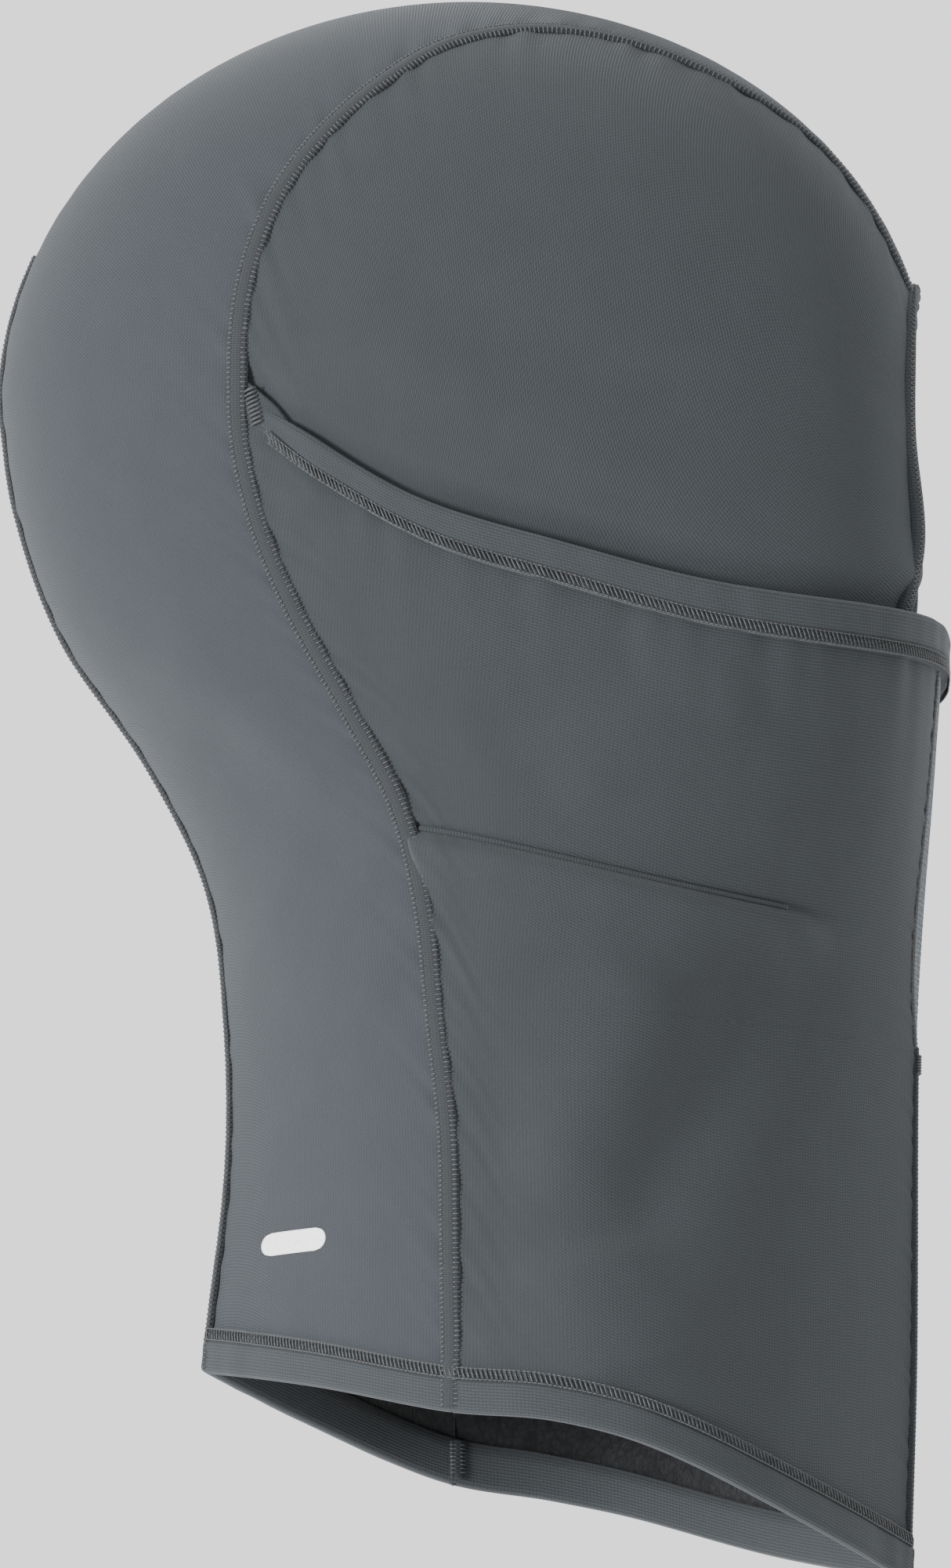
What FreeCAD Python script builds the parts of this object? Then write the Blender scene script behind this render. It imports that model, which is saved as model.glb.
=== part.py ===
"""Balaclava: a sewn stretch hood with a pull-down face mask.

Millimetres, +Z up, the face looks along -Y and the wearer's right side is -X.
The origin is the middle of the head cavity, level with the tops of the ears.
Each cloth piece is the slice between two nested offsets of one body surface,
cut along its seams. Right-hand pieces are modelled and mirrored to the left.
"""
import os
from math import atan2, cos, hypot, pi, radians, sin, sqrt

import FreeCAD
import Part

V = FreeCAD.Vector

# ---- driving dimensions ----------------------------------------------------
HEAD_LENGTH = 205.0          # front to back of the hood at eye level
HEAD_WIDTH = 156.0           # across the ears
CROWN_HEIGHT = 90.3          # origin to the top of the crown
NECK_DROP = 258.0            # origin down to the front tip of the neck hem
CLOTH = 1.6                  # fleece-backed stretch knit
HEM_OUT = 0.5                # how far a folded hem stands out of the panel
HEM_IN = 0.8                 # how far the folded allowance lies inside it
STITCH = 0.5                 # height of a coverstitch above the cloth
SEAM_BAND = 4.2              # width of the coverstitched main seam
NECK_HEM = 10.2              # height of the neck hem
NECK_STITCH = 2.9            # width of the neck hem coverstitch
FACE_HEM = 4.6               # width of the face opening hem
MASK_HEM = 10.0              # height of the rolled mask edge
MASK_HEM_OUT = 1.6           # how far the rolled edge stands out
MASK_STITCH = 2.9            # width of the mask edge coverstitch
MASK_GAP = 0.5               # air between the mask and the cheek under it
MESH_HALF_WIDTH = 17.0       # breathing panel, half width under the mask edge
FACE_HALF_WIDTH = 35.0       # face opening at the cheeks
HEM_REAR = 36.0              # rear end of the rolled mask edge

SY = HEAD_LENGTH / 205.0
SX = HEAD_WIDTH / 156.0
SU = CROWN_HEIGHT / 90.3
SD = NECK_DROP / 258.0

# hinge line of the mask: through its sewn corners, level with the ears
HINGE_Y = 49.6 * SY
HINGE_Z = -10.5 * SD

# profiles down the body: (height, value) in the base size
BACK = [(-270, 60), (-214, 57.4), (-171, 52.6), (-140, 52.7), (-108, 56.9),
        (-80, 70.3), (-52, 89.1), (-24, 99.3), (0, 103)]
FRONT = [(-270, 96), (-258, 96.2), (-213, 97.6), (-143, 98.3), (-115, 99.8),
         (-80, 102.6), (-47, 104.4), (-31, 102.5), (0, 102)]
WIDTH = [(-270, 65.5), (-200, 62), (-150, 62), (-100, 69), (-50, 76), (0, 78)]
MIDDLE = [(-270, -22), (-214, -20), (-100, -10), (0, 0)]
ROUND_BACK = [(-270, 1.0), (-214, 1.0), (-110, .65), (-60, .5), (0, .5)]
ROUND_FRONT = [(-270, 1.05), (-240, 1.05), (-140, .85), (-95, .5), (-45, .33), (0, .33)]

# side-view lines: (y, z) in the base size
MASK_TOP = [(62, 3), (47.8, -7.9), (33.8, -20.2), (10.7, -34.5), (-17.6, -43.4),
            (-53.1, -51.5), (-88.3, -53.2), (-125, -50)]
NECK_EDGE = [(80, -208), (54.3, -216.2), (35.5, -222.2), (5.5, -231.5), (-18.3, -234.6),
             (-39.1, -239.5), (-70, -251.2), (-91.2, -259), (-115, -268)]
DART = [(60, -97), (12.6, -104.8), (-26.2, -113), (-52.1, -117.4), (-79.3, -119.9), (-120, -122)]
JAW_EDGE = [(70, -98), (12.6, -104.8), (-26, -109.5), (-48.6, -108.6), (-67.6, -105),
            (-84, -93), (-93.4, -74), (-103, -58), (-135, -50)]


def profile(table, x):
    """Smooth curve through a table of (x, value)."""
    n = len(table)
    i = 0
    while i < n - 2 and x > table[i + 1][0]:
        i += 1
    x0, v0 = table[i]
    x1, v1 = table[i + 1]
    h = x1 - x0
    slope = (v1 - v0) / h
    before = slope
    after = slope
    if i > 0:
        before = (v1 - table[i - 1][1]) / (x1 - table[i - 1][0])
    if i < n - 2:
        after = (table[i + 2][1] - v0) / (table[i + 2][0] - x0)
    t = min(max((x - x0) / h, 0.0), 1.0)
    a = 2 * t**3 - 3 * t**2 + 1
    b = t**3 - 2 * t**2 + t
    c = -2 * t**3 + 3 * t**2
    d = t**3 - t**2
    return a * v0 + b * h * before + c * v1 + d * h * after


def line_height(line, y):
    """Height of a side-view line at a given y."""
    table = sorted((p[0] * SY, p[1]) for p in line)
    return profile(table, y) * SD


def smooth(t):
    t = min(max(t, 0.0), 1.0)
    return t * t * (3 - 2 * t)


def body_span(z, d):
    """Front and back limits of the body at height z, moved out by d."""
    if z >= 0:
        up = max(1 - (z / (CROWN_HEIGHT + d))**2, 0.0)
        return -(102 * SY + d) * sqrt(up), (103 * SY + d) * sqrt(up)
    zz = z / SD
    return -profile(FRONT, zz) * SY - d, profile(BACK, zz) * SY + d


def body_x(y, z, d):
    """Half width of the body at (y, z), moved out by d."""
    front, back = body_span(z, d)
    if z >= 0:
        length = -front if y < 0 else back
        if length <= 0:
            return 0.0
        up = 1 - (z / (CROWN_HEIGHT + d))**2
        share = up * max(1 - (y / length)**2, 0.0)
        power = 0.5
        if y < 0:
            power = 0.5 - 0.17 * y * y / (y * y + z * z)
        return (78 * SX + d) * share**power
    zz = z / SD
    middle = profile(MIDDLE, zz) * SY
    width = profile(WIDTH, zz) * SX + d
    if y > middle:
        q = (y - middle) / (back - middle)
        power = profile(ROUND_BACK, zz)
    else:
        q = (middle - y) / (middle - front)
        power = profile(ROUND_FRONT, zz)
    return width * max(1 - q * q, 0.0)**power


REST = 2.1 + MASK_GAP - 0.5


def swept_x(y, z, d):
    """Half width left clear inside the mask edge as it swings down."""
    r = hypot((y - HINGE_Y) / SY, (z - HINGE_Z) / SD)
    share = max(1 - (r / (160.5 + d))**4, 0.0)
    return (77 * SX + d) * share**0.43


def recess(y, z):
    """0 on the open cheek, 1 where the mask covers it."""
    return smooth((line_height(MASK_TOP, y) + 9 - z) / 9)


def hood_span(z, d):
    """Front and back limits of the hood's own cheek surface."""
    front, back = body_span(z, d)
    _, back = body_span(z, d - REST * recess(back, z))
    s = recess(front, z)
    front, _ = body_span(z, d - REST * s)
    reach = (160.5 + d - REST - 0.6) * SY
    drop = (z - HINGE_Z) / SD * SY
    if s > 0 and abs(drop) < reach:
        swept = HINGE_Y - sqrt(reach**2 - drop**2)
        if z < -30 * SD:
            front = max(front, swept)
    return front, back


def hood_x(y, z, d):
    """Half width of the hood's own surface, tucked in under the mask."""
    s = recess(y, z)
    outer = body_x(y, z, d - REST * s)
    if s <= 0:
        return outer
    inner = min(outer, swept_x(y, z, d - REST - 0.6))
    return outer + (inner - outer) * s


def section(z, d, span, half_x):
    """Closed half section (x <= 0) of a surface at height z."""
    front, back = span(z, d)
    middle = 0.0
    if z < 0:
        middle = profile(MIDDLE, z / SD) * SY
    dense = []
    steps = 60
    for i in range(2 * steps + 1):
        a = pi / 2 * (1 - abs(i - steps) / steps)
        end = front if i < steps else back
        y = middle + (end - middle) * cos(a)
        x = 0.0 if i in (0, 2 * steps) else half_x(y, z, d)
        dense.append(V(-x, y, z))
    run = [0.0]
    for p, q in zip(dense, dense[1:]):
        run.append(run[-1] + p.distanceToPoint(q))
    points = []
    shares = []
    count = 22
    j = 0
    for i in range(count + 1):
        want = run[-1] * i / count
        while j < len(run) - 2 and run[j + 1] < want:
            j += 1
        t = (want - run[j]) / (run[j + 1] - run[j])
        points.append(dense[j] + (dense[j + 1] - dense[j]) * min(max(t, 0.0), 1.0))
        shares.append(i / count)
    curve = Part.BSplineCurve()
    curve.interpolate(Points=points, Parameters=shares)
    closing = Part.makeLine(points[-1], points[0])
    return Part.Wire([curve.toShape(), closing])


def half_solid(d, low, high, span=body_span, half_x=body_x):
    """Right half of a surface as a solid between two heights."""
    top = CROWN_HEIGHT + d
    levels = []
    z = low
    while z < min(high, 0) - 0.1:
        levels.append(z)
        z += 12.0
    if high <= 0:
        levels.append(high)
    else:
        if levels[-1] > -3:
            levels.pop()
        for t in (0, 12, 24, 36, 48, 58, 68, 77, 84):
            levels.append(top * sin(radians(t)))
    wires = [section(z, d, span, half_x) for z in levels]
    return Part.makeLoft(wires, True, False)


def even_spline(points):
    """Spline that passes its points at even parameters."""
    curve = Part.BSplineCurve()
    curve.interpolate(Points=points, Parameters=[i / (len(points) - 1) for i in range(len(points))])
    return curve.toShape()


def spline(points):
    curve = Part.BSplineCurve()
    curve.interpolate(points)
    return curve.toShape()


def side_region(line, above, shift=0.0):
    """Prism seen from the side: all that lies above (or below) a line."""
    pts = [V(-130, p[0] * SY, p[1] * SD + shift) for p in line]
    far = 500 if above else -500
    first = pts[0]
    last = pts[-1]
    corner1 = V(-130, first.y, far)
    corner2 = V(-130, last.y, far)
    edges = [spline(pts), Part.makeLine(last, corner2)]
    edges.append(Part.makeLine(corner2, corner1))
    edges.append(Part.makeLine(corner1, first))
    return Part.Face(Part.Wire(edges)).extrude(V(130, 0, 0))


def front_region(points):
    """Prism seen from the front, from the centre plane to a curve."""
    pts = [V(-p[0], -130 * SY, p[1]) for p in points]
    edges = [spline(pts)]
    start = V(0, pts[0].y, pts[0].z)
    end = V(0, pts[-1].y, pts[-1].z)
    if end.distanceToPoint(pts[-1]) > 1e-6:
        edges.append(Part.makeLine(pts[-1], end))
    edges.append(Part.makeLine(end, start))
    if start.distanceToPoint(pts[0]) > 1e-6:
        edges.append(Part.makeLine(start, pts[0]))
    return Part.Face(Part.Wire(edges)).extrude(V(0, 110 * SY, 0))


def opening_region(grow):
    """Face opening seen from the front, widened by grow."""
    w = FACE_HALF_WIDTH * SX + grow
    top = 21.5 * SU + grow
    pts = [(0.01, top), (w * .42, top - 1.0), (w * .78, top - 5.5), (w * .97, top - 17)]
    pts += [(w, top - 34), (w, -60 * SD), (w, -100 * SD), (w, -150 * SD)]
    return front_region(pts)


def solids(shape):
    """Keep the solid of a boolean result (largest one)."""
    parts = sorted(shape.Solids, key=lambda s: s.Volume)
    if not parts:
        raise ValueError("empty piece")
    return parts[-1]


def mirror(shape):
    return shape.mirror(V(0, 0, 0), V(1, 0, 0))


def both(half):
    """Right half and its mirror joined on the centre plane."""
    whole = half.fuse(mirror(half)).removeSplitter()
    kept = [s for s in whole.Solids if s.Volume > 2.0]
    return kept[0] if len(kept) == 1 else Part.makeCompound(kept)


# ---- the main seam ---------------------------------------------------------
# (x, y, z) directions of the seam in the base size, forehead to neck edge
SEAM = [(26, -98, 19), (29.5, -94.5, 28), (30, -89, 38), (30.5, -78.4, 54), (34, -57, 66.6),
        (36, -33, 76), (39, -14, 77), (46, 4, 72), (54, 18, 62.5), (61.6, 33.6, 46.9),
        (65, 42, 34), (67.5, 48, 17), (68, 50.3, -2.3), (66.8, 49.8, -18), (66.3, 46, -36),
        (66, 37.8, -57), (64.5, 26.2, -78.6), (63, 15.3, -99.5), (61, 10, -121),
        (57.5, 7.2, -147), (57, 4.8, -171), (56.6, 4.1, -200), (57.6, 3.7, -232), (58, 3.6, -250)]


def seam_centre(z):
    if z >= 0:
        return V(0, 0, 0)
    zz = z / SD
    return V(0, profile(MIDDLE, zz) * SY, z * min(1.0, -z / 60.0))


def onto(centre, p, d=0.0):
    """Slide p along its ray from the centre until it lies on the body."""
    low = 0.5
    high = 1.6
    for _ in range(44):
        t = (low + high) / 2
        q = centre + (p - centre) * t
        if abs(q.x) < body_x(q.y, q.z, d):
            low = t
        else:
            high = t
    return centre + (p - centre) * low


def seam_points():
    out = []
    for x, y, z in SEAM:
        p = V(-x * SX, y * SY, z * (SU if z >= 0 else SD))
        c = seam_centre(p.z)
        out.append((c, onto(c, p)))
    return out


def seam_cut():
    """Ruled face standing square to the cloth all along the main seam."""
    pairs = seam_points()
    inner = [c + (p - c) * 0.7 for c, p in pairs]
    outer = [c + (p - c) * 1.12 for c, p in pairs]
    lead_in = inner[0] + (inner[0] - inner[1]) * 1.2
    lead_out = outer[0] + (outer[0] - outer[1]) * 1.2
    tail_in = inner[-1] + (inner[-1] - inner[-2]) * 2.0
    tail_out = outer[-1] + (outer[-1] - outer[-2]) * 2.0
    return Part.makeRuledSurface(even_spline([lead_in] + inner + [tail_in]),
                                 even_spline([lead_out] + outer + [tail_out]))


def normal_at(p):
    """Outward direction of the body surface near p (x < 0 side)."""
    e = 0.4

    def g(q):
        return abs(q.x) - body_x(q.y, q.z, 0.0)
    n = V(g(V(p.x + e, p.y, p.z)) - g(V(p.x - e, p.y, p.z)),
          g(V(p.x, p.y + e, p.z)) - g(V(p.x, p.y - e, p.z)),
          g(V(p.x, p.y, p.z + e)) - g(V(p.x, p.y, p.z - e)))
    return n.normalize()


def strip(points, width, height, sink=1.0):
    """Flat ribbon following points on the body, sunk a little into it."""
    dense = spline(points).discretize(Number=max(8, 2 * len(points)))
    wires = []
    n = len(dense)
    for i, p in enumerate(dense):
        ahead = dense[min(i + 1, n - 1)]
        behind = dense[max(i - 1, 0)]
        along = (ahead - behind).normalize()
        out = normal_at(p)
        side = along.cross(out).normalize()
        out = side.cross(along).normalize()
        a = p + side * (width / 2) - out * sink
        b = p - side * (width / 2) - out * sink
        c = p - side * (width / 2) + out * height
        d = p + side * (width / 2) + out * height
        wires.append(Part.makePolygon([a, b, c, d, a]))
    return Part.makeLoft(wires, True, True)


def pick(shape, cutter, point):
    """Split a solid by a face and keep the side nearest to a point."""
    parts, _ = shape.generalFuse([cutter])
    probe = Part.Vertex(point)
    return sorted(parts.Solids, key=lambda s: s.distToShape(probe)[0])[0]


def on_side(y, z, d=0.0):
    return V(-body_x(y * SY, z, d), y * SY, z)


LOW = -276 * SD
TOP = 200

body = half_solid(0.0, LOW, TOP)
body_in = half_solid(-CLOTH, LOW, TOP)
hood = half_solid(0.0, -130 * SD, TOP, hood_span, hood_x)
hood_in = half_solid(-CLOTH, -138 * SD, TOP, hood_span, hood_x)
cut_face = seam_cut()
below_neck_hem = side_region(NECK_EDGE, False, NECK_HEM)
opening = opening_region(0.0)
opening_wide = opening_region(FACE_HEM)
jaw = side_region(JAW_EDGE, True)
jaw_in = side_region(JAW_EDGE, True, FACE_HEM)


def crown_back_panel():
    shell = body.cut(body_in).cut(below_neck_hem).cut(opening_wide)
    shell = solids(shell)
    return pick(shell, cut_face, on_side(80, 5))


def cheek_panel():
    shell = solids(hood.common(jaw_in).cut(hood_in).cut(opening_wide))
    return pick(shell, cut_face, on_side(-40, 10))


def behind_seam(margin=0.0):
    """Everything behind the low end of the main seam, under the ears."""
    return Part.makeBox(140, 200, 300, V(-140, 14.5 * SY - margin, -300))


def face_opening_hem():
    out = half_solid(HEM_OUT, -130 * SD, TOP, hood_span, hood_x)
    inn = half_solid(-CLOTH - HEM_IN, -138 * SD, TOP, hood_span, hood_x)
    ring = solids(out.common(jaw).cut(inn).cut(opening))
    ring = solids(ring.cut(jaw_in.cut(opening_wide)))
    return both(solids(ring.cut(behind_seam())))


def face_hem_stitching():
    out = half_solid(HEM_OUT + STITCH, -130 * SD, TOP, hood_span, hood_x)
    inn = half_solid(HEM_OUT, -130 * SD, TOP, hood_span, hood_x)
    ring = solids(out.cut(inn).cut(opening_region(1.2)).common(opening_region(3.6)))
    ring = solids(ring.common(side_region(MASK_TOP, True, 1.5)).cut(behind_seam(1.0)))
    return both(ring)


def front_cloth():
    """Mask and neck front as cut: one panel from the mask edge to the hem."""
    shell = body.cut(body_in).cut(below_neck_hem)
    shell = shell.common(side_region(MASK_TOP, False))
    return pick(solids(shell), cut_face, on_side(-60, -90))


def mask_hem_zone(top=0.0, bottom=MASK_HEM, rear=HEM_REAR):
    zone = side_region(MASK_TOP, False, -top).common(side_region(MASK_TOP, True, -bottom))
    keep = Part.makeBox(130, 250, 400, V(-130, rear * SY - 250, -300))
    return zone.common(keep)


def mesh_zone():
    w = MESH_HALF_WIDTH * SX
    pts = [(w * 1.12, -45 * SD), (w, -63 * SD), (w * .8, -85 * SD), (w * .52, -110 * SD)]
    pts += [(w * .25, -130 * SD), (0.6, -145 * SD)]
    return front_region(pts)


def hem_layer(d0, d1, zone):
    out = half_solid(d1, -92 * SD, -0.5)
    inn = half_solid(d0, -95 * SD, -0.4)
    return solids(out.common(zone).cut(inn))


def neck_layer(d0, d1, zone):
    out = half_solid(d1, LOW, -190 * SD)
    inn = half_solid(d0, LOW, -190 * SD)
    return solids(out.common(zone).cut(inn))


def neck_zone(low, high):
    return side_region(NECK_EDGE, True, low).common(side_region(NECK_EDGE, False, high))


def seam_ribbon():
    pts = [p for c, p in seam_points()]
    trimmed = strip(pts[:-1], SEAM_BAND, 1.0, 1.2)
    trimmed = trimmed.cut(half_solid(0.12, LOW, TOP)).cut(below_neck_hem)
    return solids(trimmed.cut(opening_wide))


def line_on_body(line, first, last, count):
    out = []
    for i in range(count):
        y = (first + (last - first) * i / (count - 1)) * SY
        z = line_height(line, y)
        out.append(V(-body_x(y, z, 0.0), y, z))
    return out


def mesh_edge_points():
    w = MESH_HALF_WIDTH * SX
    out = []
    table = [(.985, -64.5), (.8, -85), (.52, -110), (.25, -130), (.1, -140.5)]
    for f, z in table:
        zz = z * SD
        c = V(0, profile(MIDDLE, z) * SY, zz)
        x = w * f
        front, _ = body_span(zz, 0.0)
        low = front
        high = c.y
        for _ in range(44):
            y = (low + high) / 2
            if body_x(y, zz, 0.0) < x:
                low = y
            else:
                high = y
        out.append(V(-x, low, zz))
    return out


def small_patch(d0, d1, centre, size, turn=0.0):
    """Little rectangle on the flank, seen from the side."""
    y, z = centre
    box = Part.makeBox(130, size[0], size[1], V(-130, -size[0] / 2, -size[1] / 2))
    box.rotate(V(0, 0, 0), V(1, 0, 0), turn)
    box.translate(V(0, y, z))
    low = z - size[0] - size[1] - 12
    high = z + size[0] + size[1] + 12
    out = half_solid(d1, low, high)
    inn = half_solid(d0, low - 2, high + 2)
    return solids(out.common(box).cut(inn))


def centre_ribbon(side, high, low, half_width, height):
    """Half of a raised seam running down the centre line."""
    wires = []
    count = 22
    for i in range(count):
        z = high + (low - high) * i / (count - 1)
        y = body_span(z, 0.0)[side]
        out = -1 if side == 0 else 1
        a = V(0, y - out * 1.6, z)
        b = V(0, y + out * height, z)
        c = V(-half_width, y + out * (height - 0.1), z)
        d = V(-half_width, y - out * 1.6, z)
        wires.append(Part.makePolygon([a, b, c, d, a]))
    ribbon = Part.makeLoft(wires, True, False).cut(body)
    return solids(ribbon.cut(below_neck_hem))


def build():
    nodes = {}
    hem_zone = mask_hem_zone()
    front = front_cloth().cut(hem_zone)
    mesh_cut = mesh_zone()
    above_dart = side_region(DART, True)
    below_dart = side_region(DART, False)
    crown = crown_back_panel()
    cheek = cheek_panel()
    upper = solids(front.common(above_dart).cut(mesh_cut))
    lower = solids(front.common(below_dart).cut(mesh_cut))
    mesh = both(solids(front.common(mesh_cut)))
    neck_hem = neck_layer(-CLOTH - HEM_IN, HEM_OUT, neck_zone(0, NECK_HEM))
    ribbon = solids(seam_ribbon().cut(cheek))
    neck_st = neck_layer(HEM_OUT, HEM_OUT + STITCH, neck_zone(NECK_HEM - NECK_STITCH, NECK_HEM - 0.2))
    back_st = centre_ribbon(1, 34 * SU, -222 * SD, 1.4, 0.9)
    front_st = centre_ribbon(0, -151.5 * SD, -266 * SD, 1.3, 0.9)
    elastic = hem_layer(-0.5, 0.5, mask_hem_zone(3.0, 6.6))
    mask_hem = hem_layer(-CLOTH, MASK_HEM_OUT, hem_zone)
    mask_hem = both(solids(mask_hem.cut(elastic)))
    mask_st = hem_layer(MASK_HEM_OUT, MASK_HEM_OUT + STITCH,
                        mask_hem_zone(MASK_HEM - MASK_STITCH - 0.2, MASK_HEM - 0.2))
    dart_st = solids(strip(line_on_body(DART, 6.0, -76.0, 9), 1.2, 0.5).cut(body))
    dart_st = solids(dart_st.cut(ribbon))
    mesh_st = solids(strip(mesh_edge_points(), 1.4, 0.5).cut(body))
    tip = half_solid(1.0, -160 * SD, -130 * SD).cut(half_solid(0.0, -162 * SD, -128 * SD))
    tip = tip.common(Part.makeBox(2.0, 60, 8.0 * SD, V(-2.0, -130, -151.3 * SD)))
    tip = both(solids(tip))
    corner = small_patch(0.15, 0.9, (42.6 * SY, -15.2 * SD), (2.0, 6.5), -8)
    mark = small_patch(0.0, 0.3, (38 * SY, -190 * SD), (14, 5), 4)
    label = small_patch(-CLOTH - 0.65, -CLOTH - 0.25, (40 * SY, -150 * SD), (12, 18))

    nodes["crown_back_panel_right"] = crown
    nodes["crown_back_panel_left"] = mirror(crown)
    nodes["cheek_panel_right"] = cheek
    nodes["cheek_panel_left"] = mirror(cheek)
    nodes["neck_panel_right"] = lower
    nodes["neck_panel_left"] = mirror(lower)
    nodes["face_opening_hem"] = face_opening_hem()
    nodes["face_hem_stitching"] = face_hem_stitching()
    nodes["main_seam_stitching_right"] = ribbon
    nodes["main_seam_stitching_left"] = mirror(ribbon)
    nodes["centre_back_stitching"] = both(back_st)
    nodes["centre_front_stitching"] = both(front_st)
    nodes["neck_hem"] = both(neck_hem)
    nodes["neck_hem_stitching"] = both(neck_st)
    nodes["dart_stitching_right"] = dart_st
    nodes["dart_stitching_left"] = mirror(dart_st)
    nodes["mask_corner_bartack_right"] = corner
    nodes["mask_corner_bartack_left"] = mirror(corner)
    nodes["mesh_tip_bartack"] = tip
    nodes["print_mark"] = mark
    nodes["care_label"] = label
    nodes["mask_panel_right"] = upper
    nodes["mask_panel_left"] = mirror(upper)
    nodes["mesh_panel"] = mesh
    nodes["mesh_seam_stitching_right"] = mesh_st
    nodes["mesh_seam_stitching_left"] = mirror(mesh_st)
    nodes["mask_edge_hem"] = mask_hem
    nodes["mask_hem_stitching"] = both(mask_st)
    nodes["mask_edge_elastic"] = both(elastic)
    return nodes


os.makedirs("parts", exist_ok=True)
for name, shape in build().items():
    shape.exportStep("parts/" + name + ".step")
    box = shape.BoundBox
    print(name, "valid", shape.isValid(), "solids", len(shape.Solids), "vol %.0f" % shape.Volume,
          "x %.1f %.1f y %.1f %.1f z %.1f %.1f" % (box.XMin, box.XMax, box.YMin, box.YMax, box.ZMin, box.ZMax))
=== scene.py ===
"""Balaclava: the visual model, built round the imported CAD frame.

Lengths inside this script are millimetres in the row frame and become metres
when a mesh is made. The face looks along -Y, +Z is up and the wearer's right
side is -X. Right-hand pieces are built and mirrored to the left.
"""

import bpy
import mathutils
import numpy as np
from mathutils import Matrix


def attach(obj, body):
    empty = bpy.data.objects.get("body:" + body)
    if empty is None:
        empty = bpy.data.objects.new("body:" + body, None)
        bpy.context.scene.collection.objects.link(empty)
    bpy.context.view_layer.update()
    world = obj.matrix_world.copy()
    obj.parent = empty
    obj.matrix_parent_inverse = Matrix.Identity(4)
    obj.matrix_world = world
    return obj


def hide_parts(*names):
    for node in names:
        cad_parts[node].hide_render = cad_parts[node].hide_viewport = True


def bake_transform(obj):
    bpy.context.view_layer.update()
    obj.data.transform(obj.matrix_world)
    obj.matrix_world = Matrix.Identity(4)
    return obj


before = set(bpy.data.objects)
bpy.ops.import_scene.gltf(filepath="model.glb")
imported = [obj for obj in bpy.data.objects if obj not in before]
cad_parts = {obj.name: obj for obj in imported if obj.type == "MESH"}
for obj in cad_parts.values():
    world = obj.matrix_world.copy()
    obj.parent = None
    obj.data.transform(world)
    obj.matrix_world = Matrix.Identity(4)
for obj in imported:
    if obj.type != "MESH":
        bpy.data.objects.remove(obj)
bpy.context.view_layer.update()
rng = np.random.default_rng(7)

MM = 0.001
CLOTH = 1.6
HINGE = np.array([0.0, 49.6, -10.5])

# ---- the body the cloth is stretched over ----------------------------------
CROWN, BROW, OCCIPUT, TEMPLE = 90.3, 102, 103, 78    # head: up, forward, back and aside
SWEEP_REACH, SWEEP_SIDE = 160.5, 77                  # the clear space round the mask's hinge
BACK = [(-270, 60), (-214, 57.4), (-171, 52.6), (-140, 52.7), (-108, 56.9),
        (-80, 70.3), (-52, 89.1), (-24, 99.3), (0, 103)]
FRONT = [(-270, 96), (-258, 96.2), (-213, 97.6), (-143, 98.3), (-115, 99.8),
         (-80, 102.6), (-47, 104.4), (-31, 102.5), (0, 102)]
WIDTH = [(-270, 65.5), (-200, 62), (-150, 62), (-100, 69), (-50, 76), (0, 78)]
MIDDLE = [(-270, -22), (-214, -20), (-100, -10), (0, 0)]
ROUND_BACK = [(-270, 1.0), (-214, 1.0), (-110, .65), (-60, .5), (0, .5)]
ROUND_FRONT = [(-270, 1.05), (-240, 1.05), (-140, .85), (-95, .5), (-45, .33), (0, .33)]
MASK_TOP = [(62, 3), (47.8, -7.9), (33.8, -20.2), (10.7, -34.5), (-17.6, -43.4),
            (-53.1, -51.5), (-88.3, -53.2), (-125, -50)]
NECK_EDGE = [(80, -208), (54.3, -216.2), (35.5, -222.2), (5.5, -231.5), (-18.3, -234.6),
             (-39.1, -239.5), (-70, -251.2), (-91.2, -259), (-115, -268)]
DART = [(60, -97), (12.6, -104.8), (-26.2, -113), (-52.1, -117.4), (-79.3, -119.9), (-120, -122)]
JAW_EDGE = [(70, -98), (12.6, -104.8), (-26, -109.5), (-48.6, -108.6), (-67.6, -105),
            (-84, -93), (-93.4, -74), (-103, -58), (-135, -50)]
SEAM = [(26, -98, 19), (29.5, -94.5, 28), (30, -89, 38), (30.5, -78.4, 54), (34, -57, 66.6),
        (36, -33, 76), (39, -14, 77), (46, 4, 72), (54, 18, 62.5), (61.6, 33.6, 46.9),
        (65, 42, 34), (67.5, 48, 17), (68, 50.3, -2.3), (66.8, 49.8, -18), (66.3, 46, -36),
        (66, 37.8, -57), (64.5, 26.2, -78.6), (63, 15.3, -99.5), (61, 10, -121),
        (57.5, 7.2, -147), (57, 4.8, -171), (56.6, 4.1, -200), (57.6, 3.7, -232), (58, 3.6, -250)]


def profile(table, x):
    """Smooth curve through a table of (x, value), for an array of x."""
    xs = np.array([p[0] for p in table], float)
    vs = np.array([p[1] for p in table], float)
    if xs[0] > xs[-1]:
        xs, vs = xs[::-1], vs[::-1]
    x = np.asarray(x, float)
    i = np.clip(np.searchsorted(xs, x, side="left") - 1, 0, len(xs) - 2)
    h = xs[i + 1] - xs[i]
    slope = (vs[i + 1] - vs[i]) / h
    lower, upper = np.maximum(i - 1, 0), np.minimum(i + 2, len(xs) - 1)
    before = np.where(i > 0, (vs[i + 1] - vs[lower]) / (xs[i + 1] - xs[lower]), slope)
    after = np.where(i < len(xs) - 2, (vs[upper] - vs[i]) / (xs[upper] - xs[i]), slope)
    t = np.clip((x - xs[i]) / h, 0, 1)
    a, b = 2 * t**3 - 3 * t**2 + 1, t**3 - 2 * t**2 + t
    return a * vs[i] + b * h * before + (1 - a) * vs[i + 1] + (t**3 - t**2) * h * after


def smooth(t):
    t = np.clip(t, 0, 1)
    return t * t * (3 - 2 * t)


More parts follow.
